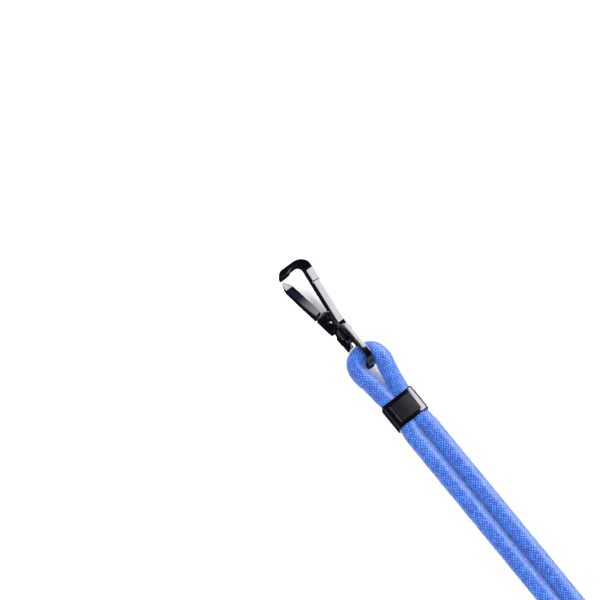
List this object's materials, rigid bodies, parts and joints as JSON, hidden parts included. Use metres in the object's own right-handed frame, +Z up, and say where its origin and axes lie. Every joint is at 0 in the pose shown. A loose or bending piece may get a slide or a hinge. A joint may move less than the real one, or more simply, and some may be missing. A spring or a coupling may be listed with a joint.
{
  "type": "phone lanyard",
  "caption": "Round braided neck cord in one closed loop, crimped by a rectangular metal sleeve and bent round an upright ring that carries a swivel snap hook with a hinged gate.",
  "frame": {"origin": "On the surface that the lanyard lies on, under the middle of its bounding box.", "axes": "+X runs from the snap hook along the two strands to the far end of the neck loop, +Z is up from the surface, and +Y is across the loop."},
  "size_m": [0.4117, 0.1367, 0.0097],
  "materials": {
    "gunmetal": "polished black nickel plating",
    "braid": "cornflower blue braided polyester"
  },
  "bodies": {
    "lanyard": {"ring": "gunmetal", "sleeve": "gunmetal", "cord": "braid"},
    "snap_hook": {"hook": "gunmetal", "rivet": "gunmetal"},
    "hook_gate": {"gate": "gunmetal"}
  },
  "joints": [
    {"name": "hook_swivel", "type": "hinge", "parent": "lanyard", "child": "snap_hook", "pos_m": [-0.18195, 0, 0.00453], "axis": [0.9943, 0, 0.1068], "continuous": true},
    {"name": "gate_hinge", "type": "hinge", "parent": "snap_hook", "child": "hook_gate", "pos_m": [-0.18624, -0.00149, 0.00423], "axis": [0.1062, -0.1045, -0.9888], "range_deg": [0, 17], "stiffness_Nm_per_rad": 0.04, "springref_deg": -28.65}
  ]
}
